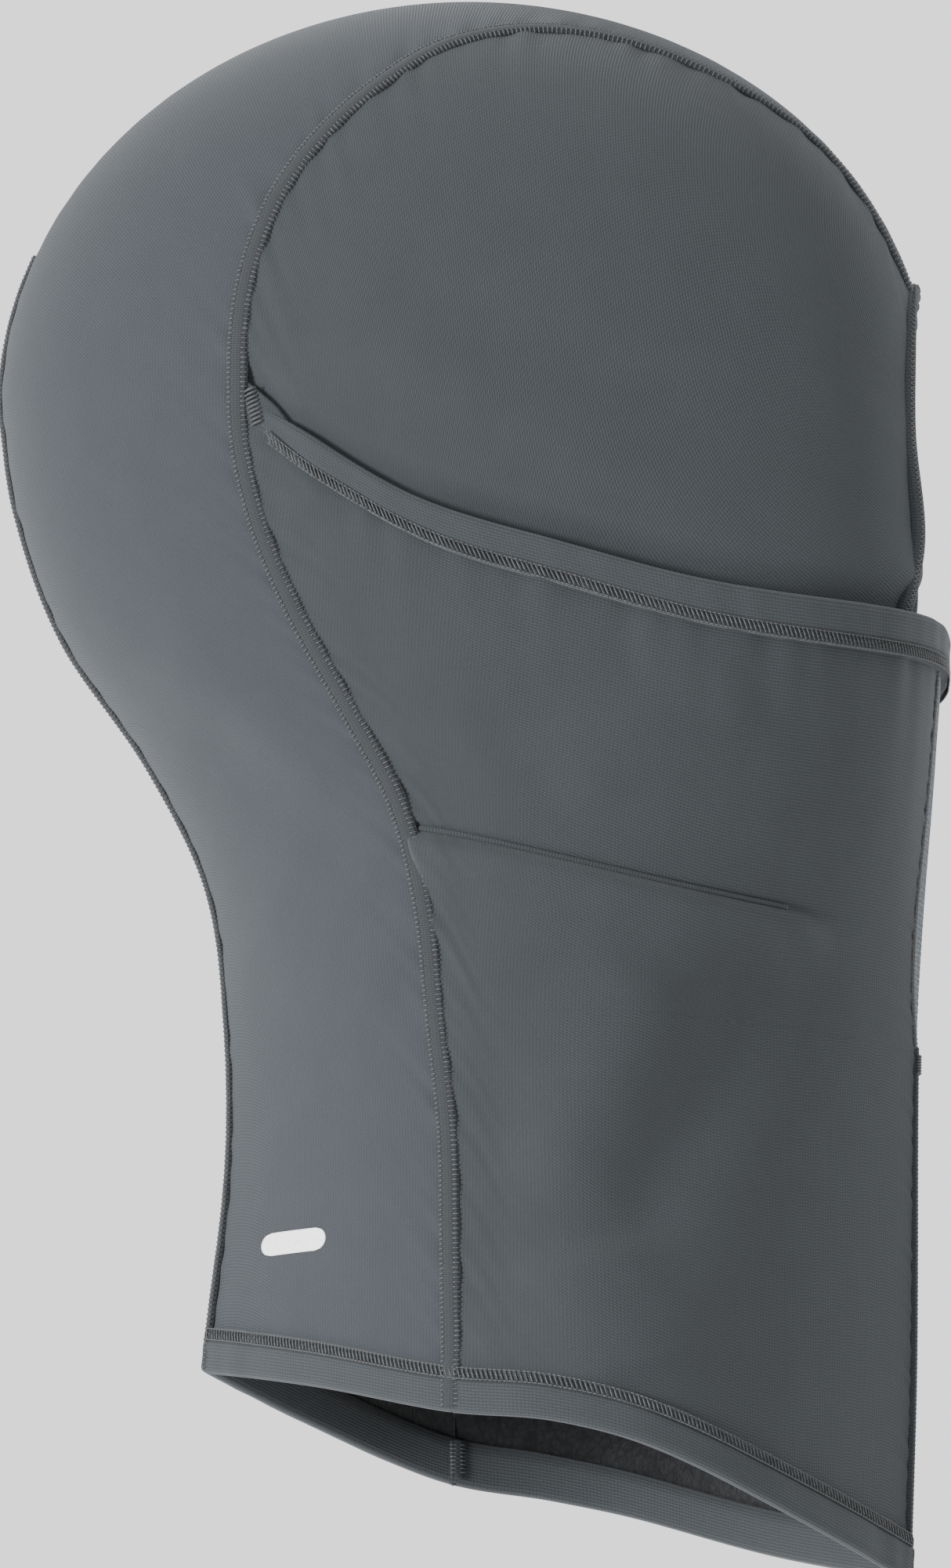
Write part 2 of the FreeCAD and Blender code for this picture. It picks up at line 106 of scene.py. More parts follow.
def body_span(z, d=0.0):
    """Front and back limits of the body at height z, moved out by d."""
    up = np.sqrt(np.maximum(1 - (np.maximum(z, 0) / (CROWN + d))**2, 0))
    front = np.where(z >= 0, -(BROW + d) * up, -profile(FRONT, z) - d)
    back = np.where(z >= 0, (OCCIPUT + d) * up, profile(BACK, z) + d)
    return front, back


def body_x(y, z, d=0.0):
    """Half width of the body at (y, z), moved out by d."""
    y, z = np.broadcast_arrays(np.asarray(y, float), np.asarray(z, float))
    front, back = body_span(z, d)
    length = np.maximum(np.where(y < 0, -front, back), 1e-6)
    up = np.maximum(1 - (np.maximum(z, 0) / (CROWN + d))**2, 0)
    share = up * np.maximum(1 - (y / length)**2, 0)
    power = 0.5 - np.where(y < 0, 0.17 * y * y / (y * y + z * z + 1e-9), 0)
    head = (TEMPLE + d) * share**power
    middle = profile(MIDDLE, z)
    width = profile(WIDTH, z) + d
    ahead = y <= middle
    q = np.where(ahead, (middle - y) / (middle - front), (y - middle) / (back - middle))
    power = np.where(ahead, profile(ROUND_FRONT, z), profile(ROUND_BACK, z))
    neck = width * np.maximum(1 - q * q, 0)**power
    return np.where(z >= 0, head, neck)


REST = 2.1      # how deep the hood lies under the mask


def swept_x(y, z, d):
    """Half width that the mask leaves free while it turns about its hinge."""
    r = np.hypot(y - HINGE[1], z - HINGE[2])
    return (SWEEP_SIDE + d) * np.maximum(1 - (r / (SWEEP_REACH + d))**4, 0)**0.43


def recess(y, z):
    """0 on the open cheek, 1 where the mask covers it."""
    return smooth((profile(MASK_TOP, y) + 9 - z) / 9)


def hood_x(y, z, d=0.0):
    """Half width of the hood's own surface, tucked in under the mask."""
    s = recess(y, z)
    outer = body_x(y, z, d - REST * s)
    inner = np.minimum(outer, swept_x(y, z, d - REST - 0.6))
    return outer + (inner - outer) * s


def centre_of(z):
    """Point on the centre plane that a patch is spread out from."""
    low = np.stack([0 * z, profile(MIDDLE, z), z * np.minimum(1, -z / 60)], -1)
    return np.where((z >= 0)[..., None], 0.0, low)


def onto(p, half_x=body_x, d=0.0):
    """Slides points along rays from the centre until they lie on a surface."""
    c = centre_of(p[..., 2])
    low, high = np.full(p.shape[:-1], 0.3), np.full(p.shape[:-1], 1.9)
    for _ in range(34):
        t = (low + high) / 2
        q = c + (p - c) * t[..., None]
        front, back = body_span(q[..., 2], d)
        on_plane = (q[..., 1] > front) & (q[..., 1] < back)
        inside = np.where(np.abs(q[..., 0]) < 1e-6, on_plane,
                          np.abs(q[..., 0]) < half_x(q[..., 1], q[..., 2], d))
        low, high = np.where(inside, t, low), np.where(inside, high, t)
    return c + (p - c) * low[..., None]


def resample(points, count):
    """Smooth curve through a few points, as evenly spaced points."""
    points = np.asarray(points, float)
    run = run_along(points)
    fine = np.linspace(0, run[-1], 40 * len(points))
    table = [profile(list(zip(run, points[:, k])), fine) for k in range(points.shape[1])]
    dense = np.stack(table, -1)
    run = run_along(dense)
    even = np.linspace(0, run[-1], count)
    return np.stack([np.interp(even, run, dense[:, k]) for k in range(points.shape[1])], -1)


def run_along(path):
    """Distance along a path at each of its points."""
    return np.r_[0, np.cumsum(np.linalg.norm(np.diff(path, axis=0), axis=1))]


def point_at(run, values, s):
    """Row of values at distance s, read between the path's points."""
    return np.array([np.interp(s, run, values[:, k]) for k in range(3)])


def units(vectors):
    return vectors / np.linalg.norm(vectors, axis=-1, keepdims=True)


def tangents(path):
    return units(np.gradient(path, axis=0))


def normals_of(grid):
    """Outward unit normals of a right-side grid of points."""
    n = np.cross(np.gradient(grid, axis=0), np.gradient(grid, axis=1))
    n /= np.maximum(np.linalg.norm(n, axis=-1, keepdims=True), 1e-9)
    away = (n * (grid - centre_of(grid[..., 2]))).sum(-1)
    if np.median(away) < 0:
        n = -n
    return n


def body_normal(p, half_x=body_x):
    """Outward normals of the body at points near its right side."""
    e = 0.5

    def g(dx, dy, dz):
        return np.abs(p[..., 0] + dx) - half_x(p[..., 1] + dy, p[..., 2] + dz)
    return units(np.stack([g(e, 0, 0) - g(-e, 0, 0), g(0, e, 0) - g(0, -e, 0),
                           g(0, 0, e) - g(0, 0, -e)], -1))


# ---- meshes ----------------------------------------------------------------
def as_lists(faces):
    return faces.tolist() if isinstance(faces, np.ndarray) else faces


def make(name, verts, faces, materials, slots=None, uv=None):
    """Mesh object from millimetre points; uv is one (u, v) per vertex, in mm."""
    mesh = bpy.data.meshes.new(name)
    mesh.from_pydata((np.asarray(verts) * MM).tolist(), [], as_lists(faces))
    for m in materials:
        mesh.materials.append(m)
    if slots is not None:
        mesh.polygons.foreach_set("material_index", np.asarray(slots, np.int32))
    mesh.polygons.foreach_set("use_smooth", np.ones(len(mesh.polygons), bool))
    if uv is not None:
        layer = mesh.uv_layers.new(name="cloth")
        loops = np.empty(len(mesh.loops), np.int32)
        mesh.loops.foreach_get("vertex_index", loops)
        layer.data.foreach_set("uv", (np.asarray(uv)[loops] * MM).astype(np.float32).ravel())
    mesh.update()
    ob = bpy.data.objects.new(name, mesh)
    bpy.context.scene.collection.objects.link(ob)
    return ob


def mirrored(verts, faces):
    """The same shape on the left side, with its faces still outward."""
    return np.asarray(verts) * [-1, 1, 1], [f[::-1] for f in as_lists(faces)]


def grid_faces(rows, cols, offset=0, flip=False):
    i = np.arange(rows - 1)[:, None] * cols + np.arange(cols - 1)[None]
    quads = np.stack([i, i + 1, i + cols + 1, i + cols], -1).reshape(-1, 4) + offset
    return quads[:, ::-1] if flip else quads


def cloth_shell(outer, inner):
    """Closed cloth: an outer and an inner grid joined round the rim."""
    rows, cols = outer.shape[:2]
    n = rows * cols
    mid = (rows // 2, cols // 2)
    a = outer[mid[0] + 1, mid[1]] - outer[mid]
    b = outer[mid[0], mid[1] + 1] - outer[mid]
    flip = np.dot(np.cross(b, a), outer[mid] - inner[mid]) < 0
    faces = [grid_faces(rows, cols, 0, flip), grid_faces(rows, cols, n, not flip)]
    ring = np.r_[np.arange(cols), np.arange(1, rows) * cols + cols - 1,
                 (rows - 1) * cols + np.arange(cols - 2, -1, -1), np.arange(rows - 2, -1, -1) * cols]
    p, q = ring[:-1], ring[1:]
    rim = np.stack([q, p, p + n, q + n], -1)
    faces.append(rim[:, ::-1] if flip else rim)
    slots = np.r_[np.zeros(len(faces[0])), np.ones(len(faces[1])), np.zeros(len(rim))]
    verts = np.concatenate([outer.reshape(-1, 3), inner.reshape(-1, 3)])
    return verts, np.concatenate(faces), slots


def grid_uv(grid):
    """(across, along) distances in mm over a grid."""
    across = np.zeros(grid.shape[:2])
    along = np.zeros(grid.shape[:2])
    across[:, 1:] = np.cumsum(np.linalg.norm(np.diff(grid, axis=1), axis=-1), axis=1)
    along[1:] = np.cumsum(np.linalg.norm(np.diff(grid, axis=0), axis=-1), axis=0)
    return np.stack([across, along], -1)


def tube_faces(rings, m):
    """Quads of a tube of rings with m points each."""
    i = np.arange(rings - 1)[:, None] * m
    j = np.arange(m)[None]
    k = (j + 1) % m
    return np.stack([i + j, i + k, i + m + k, i + m + j], -1).reshape(-1, 4)


def sweep(path, side, out, shape):
    """Tube along a path. shape is (m, 2) or (n, m, 2) of (side, out) offsets."""
    n = len(path)
    shape = np.broadcast_to(shape, (n,) + np.shape(shape)[-2:])
    m = shape.shape[1]
    ring = path[:, None] + side[:, None] * shape[..., :1] + out[:, None] * shape[..., 1:]
    verts = ring.reshape(-1, 3)
    faces = tube_faces(n, m)
    centre = np.cross(np.roll(ring[0], -1, axis=0) - ring[0], path[1] - path[0])
    if (centre * (ring[0] - ring[0].mean(0))).sum() < 0:
        faces = faces[:, ::-1]
    run, width = run_along(path), run_along(shape[0])
    uv = np.stack(np.broadcast_arrays(width[None], run[:, None]), -1).reshape(-1, 2)
    first, last = list(range(m)), list(range((n - 1) * m, n * m))
    cap = np.cross(ring[0][m // 3] - ring[0][0], ring[0][2 * m // 3] - ring[0][0])
    if np.dot(cap, path[0] - path[1]) > 0:
        last = last[::-1]
    else:
        first = first[::-1]
    return verts, faces.tolist() + [first, last], uv


def frames_on(path, half_x=body_x):
    """(side, out) unit vectors along a path lying on the body."""
    along = tangents(path)
    side = units(np.cross(along, body_normal(path, half_x)))
    return side, np.cross(side, along)


class Heap:
    """Gathers many small pieces of mesh into one object."""

    def __init__(self):
        self.verts, self.faces, self.uv, self.count = [], [], [], 0

    def add(self, verts, faces, uv=None):
        self.verts.append(np.asarray(verts))
        self.uv.append(np.zeros((len(verts), 2)) if uv is None else uv)
        self.faces += [[i + self.count for i in f] for f in as_lists(faces)]
        self.count += len(verts)

    def add_both(self, verts, faces, uv=None):
        """Adds a right-side shape and its mirror image."""
        self.add(verts, faces, uv)
        self.add(*mirrored(verts, faces), uv)

    def build(self, name, materials, mirror=False):
        verts, faces = np.concatenate(self.verts), self.faces
        if mirror:
            verts, faces = mirrored(verts, faces)
        return make(name, verts, faces, materials, None, np.concatenate(self.uv))


def stitches(heap, ends, radius=0.17, lift=0.22):
    """Short threads, each from ends[i, 0] to ends[i, 1], arched along ends[i, 2]."""
    steps, sides = 4, 5
    t = np.linspace(0, 1, steps + 1)
    ring = np.linspace(0, 2 * np.pi, sides, endpoint=False)
    faces = tube_faces(steps + 1, sides).tolist()
    faces.append(list(range(sides))[::-1])
    faces.append(list(range(steps * sides, (steps + 1) * sides)))
    for a, b, up in ends:
        along = (b - a) / max(np.linalg.norm(b - a), 1e-6)
        side = np.cross(along, up)
        side /= max(np.linalg.norm(side), 1e-6)
        mid = a + (b - a) * t[:, None] + up * (lift * np.sin(np.pi * t))[:, None]
        r = radius * (0.75 + 0.25 * np.sin(np.pi * t))[:, None, None]
        verts = mid[:, None] + r * (np.cos(ring)[None, :, None] * side + np.sin(ring)[None, :, None] * up)
        heap.add(verts.reshape(-1, 3), faces)


# ---- materials -------------------------------------------------------------
def rgb(r, g, b):
    """Linear colour from an sRGB 0..255 colour."""
    c = np.array([r, g, b]) / 255
    c = np.where(c <= 0.04045, c / 12.92, ((c + 0.055) / 1.055)**2.4)
    return (*c.tolist(), 1.0)


class Nodes:
    """Small helper to write node trees in few lines."""

    def __init__(self, name):
        self.mat = bpy.data.materials.new(name)
        self.mat.use_nodes = True
        self.tree = self.mat.node_tree
        self.bsdf = self.tree.nodes["Principled BSDF"]

    def new(self, kind, **values):
        node = self.tree.nodes.new("ShaderNode" + kind)
        for key, value in values.items():
            if hasattr(node, key):
                setattr(node, key, value)
            else:
                node.inputs[key.replace("_", " ")].default_value = value
        return node

    def link(self, a, b):
        self.tree.links.new(a, b)

    def math(self, op, a, b=None):
        node = self.new("Math", operation=op)
        for i, x in enumerate((a, b)):
            if x is None:
                continue
            if isinstance(x, (int, float)):
                node.inputs[i].default_value = x
            else:
                self.link(x, node.inputs[i])
        return node.outputs[0]

    def ramp(self, fac, *stops):
        node = self.new("ValToRGB")
        ramp = node.color_ramp
        while len(ramp.elements) < len(stops):
            ramp.elements.new(0.5)
        for e, (at, colour) in zip(ramp.elements, stops):
            e.position = at
            e.color = colour
        self.link(fac, node.inputs[0])
        return node.outputs[0]


def knit(name, light, dark, rib=0.70, wale=0.85, depth=0.5, patch=0.35, rough=0.88, sheen=0.25):
    """Knitted cloth: rows of loops, a soft heather of colour and fuzz."""
    n = Nodes(name)
    uv = n.new("UVMap", uv_map="cloth").outputs[0]
    split = n.new("SeparateXYZ")
    n.link(uv, split.inputs[0])
    where = n.new("TexCoord").outputs["Object"]
    warp = n.new("TexNoise", Scale=900.0, Detail=2.0)
    n.link(where, warp.inputs["Vector"])
    sway = n.math("MULTIPLY", n.math("SUBTRACT", warp.outputs["Fac"], 0.5), 0.00035)
    row = n.math("MULTIPLY", n.math("ADD", split.outputs["Y"], sway), 2 * np.pi / (rib * MM))
    col = n.math("MULTIPLY", n.math("ADD", split.outputs["X"], sway), 2 * np.pi / (wale * MM))
    rows = n.math("ADD", n.math("MULTIPLY", n.math("SINE", row), 0.5), 0.5)
    cols = n.math("ADD", n.math("MULTIPLY", n.math("SINE", col), 0.5), 0.5)
    loops = n.math("ADD", n.math("MULTIPLY", rows, 0.72), n.math("MULTIPLY", cols, 0.28))
    fuzz = n.new("TexNoise", Scale=2600.0, Detail=4.0, Roughness=0.7)
    n.link(where, fuzz.inputs["Vector"])
    blotch = n.new("TexNoise", Scale=90.0, Detail=5.0, Roughness=0.62)
    n.link(where, blotch.inputs["Vector"])
    height = n.math("ADD", n.math("MULTIPLY", loops, depth), n.math("MULTIPLY", fuzz.outputs["Fac"], 0.45))
    shade = n.math("ADD", n.math("MULTIPLY", loops, 0.42), n.math("MULTIPLY", fuzz.outputs["Fac"], 0.45))
    shade = n.math("ADD", shade, n.math("MULTIPLY", n.math("SUBTRACT", blotch.outputs["Fac"], 0.5), patch))
    colour = n.ramp(shade, (0.12, dark), (0.80, light))
    n.link(colour, n.bsdf.inputs["Base Color"])
    bump = n.new("Bump", Strength=0.55, Distance=0.00035)
    n.link(height, bump.inputs["Height"])
    n.link(bump.outputs[0], n.bsdf.inputs["Normal"])
    rougher = n.math("ADD", n.math("MULTIPLY", fuzz.outputs["Fac"], 0.16), rough - 0.08)
    n.link(rougher, n.bsdf.inputs["Roughness"])
    n.bsdf.inputs["Sheen Weight"].default_value = sheen * 0.4
    n.bsdf.inputs["Sheen Roughness"].default_value = 0.55
    n.bsdf.inputs["Sheen Tint"].default_value = (0.85, 0.9, 0.95, 1)
    n.bsdf.inputs["Specular IOR Level"].default_value = 0.22
    return n.mat


def fleece(name, light, dark):
    """Brushed inside: short tangled pile in little clumps."""
    n = Nodes(name)
    where = n.new("TexCoord").outputs["Object"]
    clump = n.new("TexVoronoi", Scale=620.0, Randomness=1.0)
    n.link(where, clump.inputs["Vector"])
    fuzz = n.new("TexNoise", Scale=1500.0, Detail=5.0, Roughness=0.75)
    n.link(where, fuzz.inputs["Vector"])
    pile = n.math("SUBTRACT", n.math("MULTIPLY", fuzz.outputs["Fac"], 0.9),
                  n.math("MULTIPLY", clump.outputs["Distance"], 0.35))
    n.link(n.ramp(pile, (0.15, dark), (0.6, light)), n.bsdf.inputs["Base Color"])
    bump = n.new("Bump", Strength=0.9, Distance=0.0007)
    n.link(pile, bump.inputs["Height"])
    n.link(bump.outputs[0], n.bsdf.inputs["Normal"])
    n.bsdf.inputs["Roughness"].default_value = 0.95
    n.bsdf.inputs["Sheen Weight"].default_value = 0.15
    n.bsdf.inputs["Specular IOR Level"].default_value = 0.15
    return n.mat


def thread(name, light, dark):
    """Twisted polyester thread."""
    n = Nodes(name)
    where = n.new("TexCoord").outputs["Object"]
    wave = n.new("TexWave", Scale=900.0, Distortion=3.0, Detail=2.0)
    n.link(where, wave.inputs["Vector"])
    n.link(n.ramp(wave.outputs["Fac"], (0.0, dark), (1.0, light)), n.bsdf.inputs["Base Color"])
    bump = n.new("Bump", Strength=0.4, Distance=0.0001)
    n.link(wave.outputs["Fac"], bump.inputs["Height"])
    n.link(bump.outputs[0], n.bsdf.inputs["Normal"])
    n.bsdf.inputs["Roughness"].default_value = 0.62
    n.bsdf.inputs["Sheen Weight"].default_value = 0.1
    return n.mat


def matt(name, colour, rough):
    """Thin printed or woven film with a faint grain."""
    n = Nodes(name)
    where = n.new("TexCoord").outputs["Object"]
    grain = n.new("TexNoise", Scale=1800.0, Detail=3.0)
    n.link(where, grain.inputs["Vector"])
    dark = tuple(c * 0.8 for c in colour[:3]) + (1,)
    n.link(n.ramp(grain.outputs["Fac"], (0.3, dark), (0.7, colour)), n.bsdf.inputs["Base Color"])
    bump = n.new("Bump", Strength=0.3, Distance=0.0001)
    n.link(grain.outputs["Fac"], bump.inputs["Height"])
    n.link(bump.outputs[0], n.bsdf.inputs["Normal"])
    n.bsdf.inputs["Roughness"].default_value = rough
    return n.mat


# Same knit as the side and front panels, set a little lighter: painted light on the back and crown panel.
KNIT_BACK_PAINTED_LIGHT = knit("knit_back_painted_light", rgb(50, 54, 58), rgb(28, 31, 34), patch=0.16)
KNIT_SIDE = knit("knit_side", rgb(48, 52, 55), rgb(26, 29, 31), patch=0.16)
KNIT_FRONT = knit("knit_front", rgb(48, 52, 55), rgb(26, 28, 30), patch=0.16)
KNIT_HEM = knit("knit_hem", rgb(51, 55, 58), rgb(28, 30, 32), depth=0.6, patch=0.12)
KNIT_BAND = knit("knit_band", rgb(45, 48, 51), rgb(24, 26, 28), rib=0.5, depth=0.5, patch=0.12)
MESH_KNIT = knit("mesh_knit", rgb(106, 111, 116), rgb(66, 70, 74), rib=1.0, wale=1.0, patch=0.12)
# Real brushed fleece inside, with its colour set much darker than the outer knit: painted shade inside the
# hood.
FLEECE_PAINTED_SHADE = fleece("fleece_inside_painted_shade", rgb(34, 37, 40), rgb(9, 10, 12))
THREAD = thread("thread_grey", rgb(54, 57, 60), rgb(24, 26, 28))
THREAD_DARK = thread("thread_dark", rgb(40, 43, 46), rgb(16, 17, 19))
PRINT = matt("print_pale", rgb(226, 226, 227), 0.55)
LABEL = matt("label_black", rgb(40, 42, 44), 0.5)

# ---- shared lines ----------------------------------------------------------
FINE = 1
seam_few = onto(np.array([(-x, y, z) for x, y, z in SEAM], float))
seam_line = onto(resample(seam_few[:-1], 640))


def section_point(t, z, half_x=body_x, d=0.0):
    """Point on the body: t runs 0 at the centre front to pi at the centre back."""
    t, z = np.broadcast_arrays(np.asarray(t, float), np.asarray(z, float))
    front, back = body_span(z, d)
    middle = np.where(z < 0, profile(MIDDLE, z), 0)
    y = np.where(t <= np.pi / 2, middle + (front - middle) * np.cos(t),
                 middle - (back - middle) * np.cos(t))
    x = half_x(y, z, d)
    x = np.where((t <= 1e-6) | (t >= np.pi - 1e-6), 0, x)
    return np.stack([-x, y, z], -1)


def t_of(y, z):
    """Inverse of section_point: t from y."""
    front, back = body_span(z)
    middle = np.where(z < 0, profile(MIDDLE, z), 0)
    q = np.where(y <= middle, (y - middle) / (front - middle), -(y - middle) / (back - middle))
    return np.arccos(np.clip(q, -1, 1))


low_seam = seam_line[seam_line[:, 2] < 4]
seam_z, seam_t = low_seam[::-1, 2], t_of(low_seam[:, 1], low_seam[:, 2])[::-1]


def t_seam(z):
    return np.interp(z, seam_z, seam_t)


MESH_EDGE = [(-160, 0), (-145, 0.4), (-130, 4.2), (-110, 8.8), (-85, 13.6), (-63, 17), (-45, 19)]


def mesh_end(z):
    """Where the breathing panel ends at height z, found by halving."""
    want = np.where(z < -144.5, 0, profile(MESH_EDGE, z))
    low, high = np.zeros(z.shape), np.full(z.shape, np.pi / 2)
    for _ in range(30):
        mid = (low + high) / 2
        less = -section_point(mid, z)[..., 0] < want
        low, high = np.where(less, mid, low), np.where(less, high, mid)
    return np.where(want <= 0, 0, low)


mesh_z = np.linspace(-270, 0, 1100)
mesh_t = mesh_end(mesh_z)


def t_mesh(z):
    """Where the breathing panel ends, as t."""
    return np.interp(z, mesh_z, mesh_t)


def z_on(line, t_of_z, shift=0.0):
    """Height where a side-view line crosses each station, by iteration."""
    z = np.full(np.shape(t_of_z(-100.0 + 0 * shift)) or np.shape(shift), -100.0)
    for _ in range(40):
        y = section_point(t_of_z(z), z)[..., 1]
        z = 0.5 * z + 0.5 * (profile(line, y) + shift)
    return z


def segment_ridge(p, a, b, width, amount, taper=0.25):
    """A soft ridge (or valley) along a side-view segment from a to b."""
    a, b = np.array(a, float), np.array(b, float)
    q = p[..., 1:]
    t = ((q - a) @ (b - a)) / ((b - a) @ (b - a))
    near = a + np.clip(t, 0, 1)[..., None] * (b - a)
    d = np.linalg.norm(q - near, axis=-1)
    ends = smooth(t / taper + 0.3) * smooth((1 - t) / taper + 0.3)
    return amount * np.exp(-(d / width)**2) * ends


def puckers(run, away, pitch, amount, reach, seed):
    """Little gathers beside a row of stitching."""
    r = np.random.default_rng(seed)
    phase = r.uniform(0, 6.28, 5)
    wave = np.zeros(np.broadcast(run, away).shape)
    for k, f in enumerate((1.0, 1.37, 0.73, 1.81, 0.49)):
        wave = wave + np.sin(run * 2 * np.pi / pitch * f + phase[k] + away * 0.05 * k) / (1 + 0.4 * k)
    return amount * wave * np.exp(-away / reach)


def place(ob, nodes, moving=False):
    """Hangs a fixed piece on the hood, bakes a moving piece's transform, and hides the CAD nodes it stands
    for.
    """
    if moving:
        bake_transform(ob)
    else:
        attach(ob, "hood")
    if nodes:
        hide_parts(*nodes)
    return ob


def both_sides(name, verts, faces, slots, uv, materials, node, moving=False):
    """Right piece and its mirrored left one."""
    right = make(name + "_right", verts, faces, materials, slots, uv)
    place(right, [n + "_right" for n in node], moving)
    v, f = mirrored(verts, faces)
    left = make(name + "_left", v, f, materials, slots, uv)
    place(left, [n + "_left" for n in node], moving)
    return right, left


def cloth(grid, relief, thickness=CLOTH, inner_share=0.8):
    """Outer and inner grids of a cloth with a relief in mm along its normals."""
    n = normals_of(grid)
    outer = grid + n * relief[..., None]
    inner = grid + n * (relief * inner_share - thickness)[..., None]
    return outer, inner


# ---- crown and back panels: main seam to the centre line ---------------------
def crown_back():
    rows, cols = 380 // FINE, 112 // FINE
    a = resample(seam_line, rows)
    few = [(0, -101.5, 22.5)]
    for length, turns in ((BROW, (24, 42, 60, 78, 96)), (OCCIPUT, (114, 132, 150, 166, 180))):
        few += [(0, float(-length * np.cos(f)), float(CROWN * np.sin(f))) for f in np.radians(turns)]
    few += [(0, float(profile(BACK, z)), z) for z in (-24, -52, -80, -108, -140, -171, -208.5)]
    b = resample(few, rows)
    u = np.linspace(0, 1, cols)[None, :, None]
    flat = a[:, None] * (1 - u) + b[:, None] * u
    wide = np.linalg.norm(b - a, axis=1)[:, None, None]
    flat = flat - np.array([0.09, 0, 0]) * wide * 4 * u * (1 - u)
    flat[:, -1, 0] = 0
    grid = onto(flat)
    grid[:, -1, 0] = 0
    uv = grid_uv(grid)
    run = uv[..., 1]
    away = uv[..., 0]
    total = away[:, -1:]
    relief = puckers(run, away, 11.0, 0.20, 6.5, 1)
    back = smooth((grid[..., 1] - 20) / 40)
    relief += back * puckers(run, total - away, 9.5, 0.12, 5.0, 2)
    relief += segment_ridge(grid, (66, -60), (28, -96), 9, 1.1)
    relief -= segment_ridge(grid, (60, -78), (24, -112), 7, 1.0)
    relief += segment_ridge(grid, (50, -120), (16, -140), 10, 0.9)
    relief *= smooth(np.minimum(away, 2) / 2) * 0.85 + 0.15
    outer, inner = cloth(grid, relief)
    outer[:, -1, 0] = inner[:, -1, 0] = -0.02
    verts, faces, slots = cloth_shell(outer, inner)
    uvs = np.concatenate([uv.reshape(-1, 2)] * 2)
    pair = both_sides("crown_back", verts, faces, slots, uvs, [KNIT_BACK_PAINTED_LIGHT, FLEECE_PAINTED_SHADE],
                      ["crown_back_panel"])


# ---- cheek panels: main seam to the face opening ------------------------------
FACE_X = 35.0


def opening_path():
    """Edge of the face opening on the right: forehead, down the cheek, under the jaw."""
    w = FACE_X
    few = [(0.01, 21.5), (w * .42, 20.5), (w * .78, 16), (w * .97, 4.5), (w, -12.5), (w, -40), (w, -62)]
    pts = []
    for x, z in few:
        ys = np.linspace(-108, -30, 1200)
        xs = hood_x(ys, z)
        k = int(np.argmax(xs >= max(x, 1.0)))
        y = body_span(np.array(float(z)))[0] if x < 1 else ys[k]
        pts.append((-x, float(y), z))
    for y in (-91.5, -87, -80, -67.6, -48.6, -26, -6, 12.6):
        z = float(profile(JAW_EDGE, y))
        x = float(hood_x(y, z))
        if x > FACE_X:
            pts.append((-x, y, z))
    return np.array(pts)


def cheek():
    rows, cols = 300 // FINE, 110 // FINE
    few = opening_path()
    edge = resample(few, 900)
    start = int(np.argmin(np.linalg.norm(edge - (-27.5, -97.5, 19.0), axis=1)))
    edge = resample(edge[start:], rows)
    upper = seam_line[seam_line[:, 2] > -104.5]
    a = resample(upper, rows)
    u = np.linspace(0, 1, cols)[None, :, None]
    flat = a[:, None] * (1 - u) + edge[:, None] * u
    wide = np.linalg.norm(edge - a, axis=1)[:, None, None]
    flat = flat - np.array([0.11, 0, 0]) * wide * 4 * u * (1 - u)
    grid = onto(flat, hood_x)
    uv = grid_uv(grid)
    away, run = uv[..., 0], uv[..., 1]
    rest = away[:, -1:] - away
    relief = puckers(run, away, 11.0, 0.26, 8.0, 3) + puckers(run, rest, 12.0, 0.16, 6.0, 4)
    relief += segment_ridge(grid, (30, 4), (-40, -30), 9, 0.8)
    relief -= segment_ridge(grid, (22, 16), (-52, -14), 8, 0.7)
    relief += segment_ridge(grid, (-60, 20), (-92, -20), 8, 0.35)
    relief *= smooth(np.minimum(away, 2) / 2) * 0.85 + 0.15
    outer, inner = cloth(grid, relief)
    verts, faces, slots = cloth_shell(outer, inner)
    uvs = np.concatenate([uv.reshape(-1, 2)] * 2)
    pair = both_sides("cheek", verts, faces, slots, uvs, [KNIT_SIDE, FLEECE_PAINTED_SHADE],
                      ["cheek_panel"])


